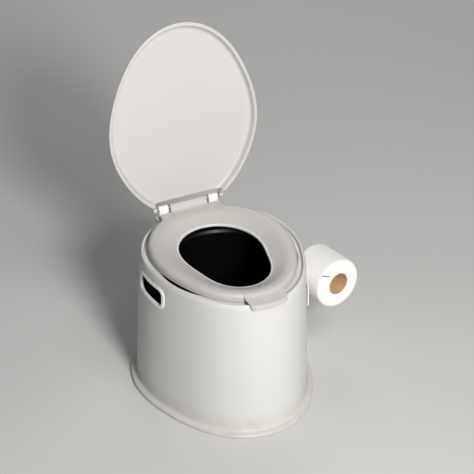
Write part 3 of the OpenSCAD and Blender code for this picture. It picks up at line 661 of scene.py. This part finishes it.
turned(section(spindle, [0, 1.6, 1.2, 0.6, 0.8, 0.8, 0.8, 0]), ROLL @ Vector((0, 0, SPINDLE_UP)), -ROLL_DIR,
       "spindle", M_TRIM, "drum", "holder_spindle", 128)

# ---------------------------------------------------------------- paper roll and core
def paper_material():
    """Soft tissue: layer edges on the faces, and painted shade at the tail: a dark line on the front face for the
    shadowed gap between two layers.
    """
    m, s = mat("tissue", (0.94, 0.915, 0.90), 0.95, "paper", (380, 0.35), (25, 0.02), sheen=0.35, gloss=0.1, sss=0.35)
    nt = m.node_tree
    N_, L = nt.nodes.new, nt.links.new
    bs = next(n for n in nt.nodes if n.type == "BSDF_PRINCIPLED")
    tc = next(n for n in nt.nodes if n.type == "TEX_COORD")
    mp = N_("ShaderNodeMapping")
    mp.vector_type = "TEXTURE"
    mp.inputs["Location"].default_value = (*(ROLL_AT / 1000),)
    mp.inputs["Rotation"].default_value = (math.radians(-3), 0, math.radians(10))
    L(tc.outputs["Object"], mp.inputs["Vector"])
    sep = N_("ShaderNodeSeparateXYZ")
    L(mp.outputs[0], sep.inputs[0])
    flat = N_("ShaderNodeCombineXYZ")
    L(sep.outputs["X"], flat.inputs[0])
    L(sep.outputs["Z"], flat.inputs[1])
    dist = N_("ShaderNodeVectorMath")
    dist.operation = "LENGTH"
    L(flat.outputs[0], dist.inputs[0])
    # layer edges: noise drawn out along the turns
    polar = N_("ShaderNodeCombineXYZ")
    ang = N_("ShaderNodeMath")
    ang.operation = "ARCTAN2"
    L(sep.outputs["Z"], ang.inputs[0])
    L(sep.outputs["X"], ang.inputs[1])
    L(dist.outputs["Value"], polar.inputs[0])
    small = N_("ShaderNodeMath")
    small.operation = "MULTIPLY"
    small.inputs[1].default_value = 0.0012
    L(ang.outputs[0], small.inputs[0])
    L(small.outputs[0], polar.inputs[1])
    layers = N_("ShaderNodeTexNoise")
    layers.inputs["Scale"].default_value = 1300
    layers.inputs["Detail"].default_value = 4
    L(polar.outputs[0], layers.inputs["Vector"])
    old = bs.inputs["Normal"].links[0].from_socket
    geo = N_("ShaderNodeNewGeometry")
    face = N_("ShaderNodeVectorMath")
    face.operation = "DOT_PRODUCT"
    face.inputs[1].default_value = tuple(ROLL_DIR)
    L(geo.outputs["Normal"], face.inputs[0])
    absf = N_("ShaderNodeMath")
    absf.operation = "ABSOLUTE"
    L(face.outputs["Value"], absf.inputs[0])
    gate = N_("ShaderNodeMath")
    gate.operation = "MULTIPLY"
    L(absf.outputs[0], gate.inputs[0])
    L(layers.outputs[0], gate.inputs[1])
    b = N_("ShaderNodeBump")
    b.inputs["Strength"].default_value = 0.5
    b.inputs["Distance"].default_value = 0.0012
    L(gate.outputs[0], b.inputs["Height"])
    L(old, b.inputs["Normal"])
    L(b.outputs[0], bs.inputs["Normal"])
    # painted shade: a dark line for the shadowed gap between two layers on the front face, near the segment p to q in
    # the roll's frame
    p, q = Vector((-0.0250, 0.0275, 0)), Vector((-0.0395, 0.0330, 0))
    xz = N_("ShaderNodeCombineXYZ")
    L(sep.outputs["X"], xz.inputs[0])
    L(sep.outputs["Z"], xz.inputs[1])
    rel = N_("ShaderNodeVectorMath")
    rel.operation = "SUBTRACT"
    L(xz.outputs[0], rel.inputs[0])
    rel.inputs[1].default_value = tuple(p)
    along = N_("ShaderNodeVectorMath")
    along.operation = "DOT_PRODUCT"
    L(rel.outputs[0], along.inputs[0])
    along.inputs[1].default_value = tuple((q - p) / (q - p).length_squared)
    part = N_("ShaderNodeClamp")
    L(along.outputs["Value"], part.inputs["Value"])
    foot = N_("ShaderNodeVectorMath")
    foot.operation = "SCALE"
    foot.inputs[0].default_value = tuple(q - p)
    L(part.outputs[0], foot.inputs["Scale"])
    gap = N_("ShaderNodeVectorMath")
    gap.operation = "DISTANCE"
    L(rel.outputs[0], gap.inputs[0])
    L(foot.outputs[0], gap.inputs[1])
    near = N_("ShaderNodeMapRange")
    near.inputs["From Min"].default_value = 0.0018
    near.inputs["From Max"].default_value = 0.0007
    L(gap.outputs["Value"], near.inputs["Value"])
    front = N_("ShaderNodeMath")
    front.operation = "GREATER_THAN"
    front.inputs[1].default_value = 0.5
    L(face.outputs["Value"], front.inputs[0])
    gap_shade_weight = N_("ShaderNodeMath")
    gap_shade_weight.operation = "MULTIPLY"
    L(near.outputs[0], gap_shade_weight.inputs[0])
    L(front.outputs[0], gap_shade_weight.inputs[1])
    # painted shade: mixes the tissue colour towards near-black along the gap
    painted_gap_shade = N_("ShaderNodeMix")
    painted_gap_shade.data_type = "RGBA"
    L(gap_shade_weight.outputs[0], painted_gap_shade.inputs[0])
    L(bs.inputs["Base Color"].links[0].from_socket, painted_gap_shade.inputs[6])
    painted_gap_shade.inputs[7].default_value = (0.12, 0.09, 0.10, 1)
    L(painted_gap_shade.outputs[2], bs.inputs["Base Color"])
    return m, s


M_TISSUE = paper_material()
TAIL = math.radians(140)
nn = 320
tt = np.arange(nn) * 2 * np.pi / nn
turn = ((tt - TAIL) / (2 * np.pi)) % 1.0
outer_r = 52.1 + 0.85 * (1 - turn)
wob = 0.12 * np.sin(3 * tt + 0.6) + 0.08 * np.sin(7 * tt)


def roll_ring(r, h):
    """Ring about the roll's axis, h in front of its back face; r is one radius or one per point."""
    x, z = r * np.cos(tt), r * np.sin(tt)
    p = np.stack([x, np.full(nn, -float(h)), z], 1)
    R = np.array(ROLL)
    return p @ R[:3, :3].T + R[:3, 3]


r_in = np.full(nn, 23.6)
rows = [(r_in, 0.2), (r_in + 2, 0.0), (outer_r, 0.0), (outer_r + wob, 43), (outer_r, 86), (r_in + 10, 85.8),
        (r_in + 2, 85.6), (r_in, 85.2)]
ob = loft("paper_roll_wound", rounded([roll_ring(r, h) for r, h in rows], [0.5, 2, 5, 9, 8, 4, 1, 0.5], True, 9),
          M_TISSUE, "roll", "paper_roll")
fix_normals(ob)
turned(section([(21.9, 0.5), (23.5, 0.5), (23.5, 85.5), (21.9, 85.5)], 0.4), ROLL_AT, ROLL_DIR, "core_tube", M_CORE, "roll",
       "roll_core", 160)

# ---------------------------------------------------------------- floor, light and camera
floor_mat = bpy.data.materials.new("floor_paint")
floor_mat.use_nodes = True
fb = floor_mat.node_tree.nodes["Principled BSDF"]
fb.inputs["Base Color"].default_value = (0.66, 0.655, 0.645, 1)
fb.inputs["Roughness"].default_value = 0.8
bpy.ops.mesh.primitive_plane_add(size=40, location=(0, 0, 0))
floor = bpy.context.active_object
floor.name = "floor"
floor.data.materials.append(floor_mat)


def area(name, at, size, power, colour=(1, 1, 1), aim=(0, 0, 0.3)):
    light = bpy.data.lights.new(name, "AREA")
    light.shape, light.size, light.energy, light.color = "DISK", size, power, colour
    ob = bpy.data.objects.new(name, light)
    bpy.context.scene.collection.objects.link(ob)
    ob.location = at
    ob.rotation_mode = "QUATERNION"
    ob.rotation_quaternion = (Vector(at) - Vector(aim)).to_track_quat("Z", "Y")
    return ob


area("key", (-0.26, -2.78, 2.05), 0.8, 96, (1, 0.985, 0.96))
area("top", (0.30, -1.85, 2.95), 1.5, 24)
area("back", (1.3, 2.5, 2.5), 2.2, 26, aim=(0.3, 0.9, 0))
world = bpy.data.worlds.new("studio")
bpy.context.scene.world = world
world.use_nodes = True
world.node_tree.nodes["Background"].inputs[0].default_value = (0.93, 0.95, 1, 1)
world.node_tree.nodes["Background"].inputs[1].default_value = 0.05

bpy.context.scene.view_settings.view_transform = "Standard"

cam_data = bpy.data.cameras.new("camera")
cam = bpy.data.objects.new("camera", cam_data)
bpy.context.scene.collection.objects.link(cam)
bpy.context.scene.camera = cam
cam.location = (-1.1629, -2.3215, 2.0303)
aim = Vector((0.022, 0.0, 0.330))
cam.rotation_mode = "QUATERNION"
look = (aim - cam.location).to_track_quat("-Z", "Y")
cam.rotation_quaternion = look @ Matrix.Rotation(math.radians(0.67), 4, "Z").to_quaternion()
cam_data.lens = 122
cam_data.dof.use_dof = False
cam_data.clip_start, cam_data.clip_end = 0.05, 60
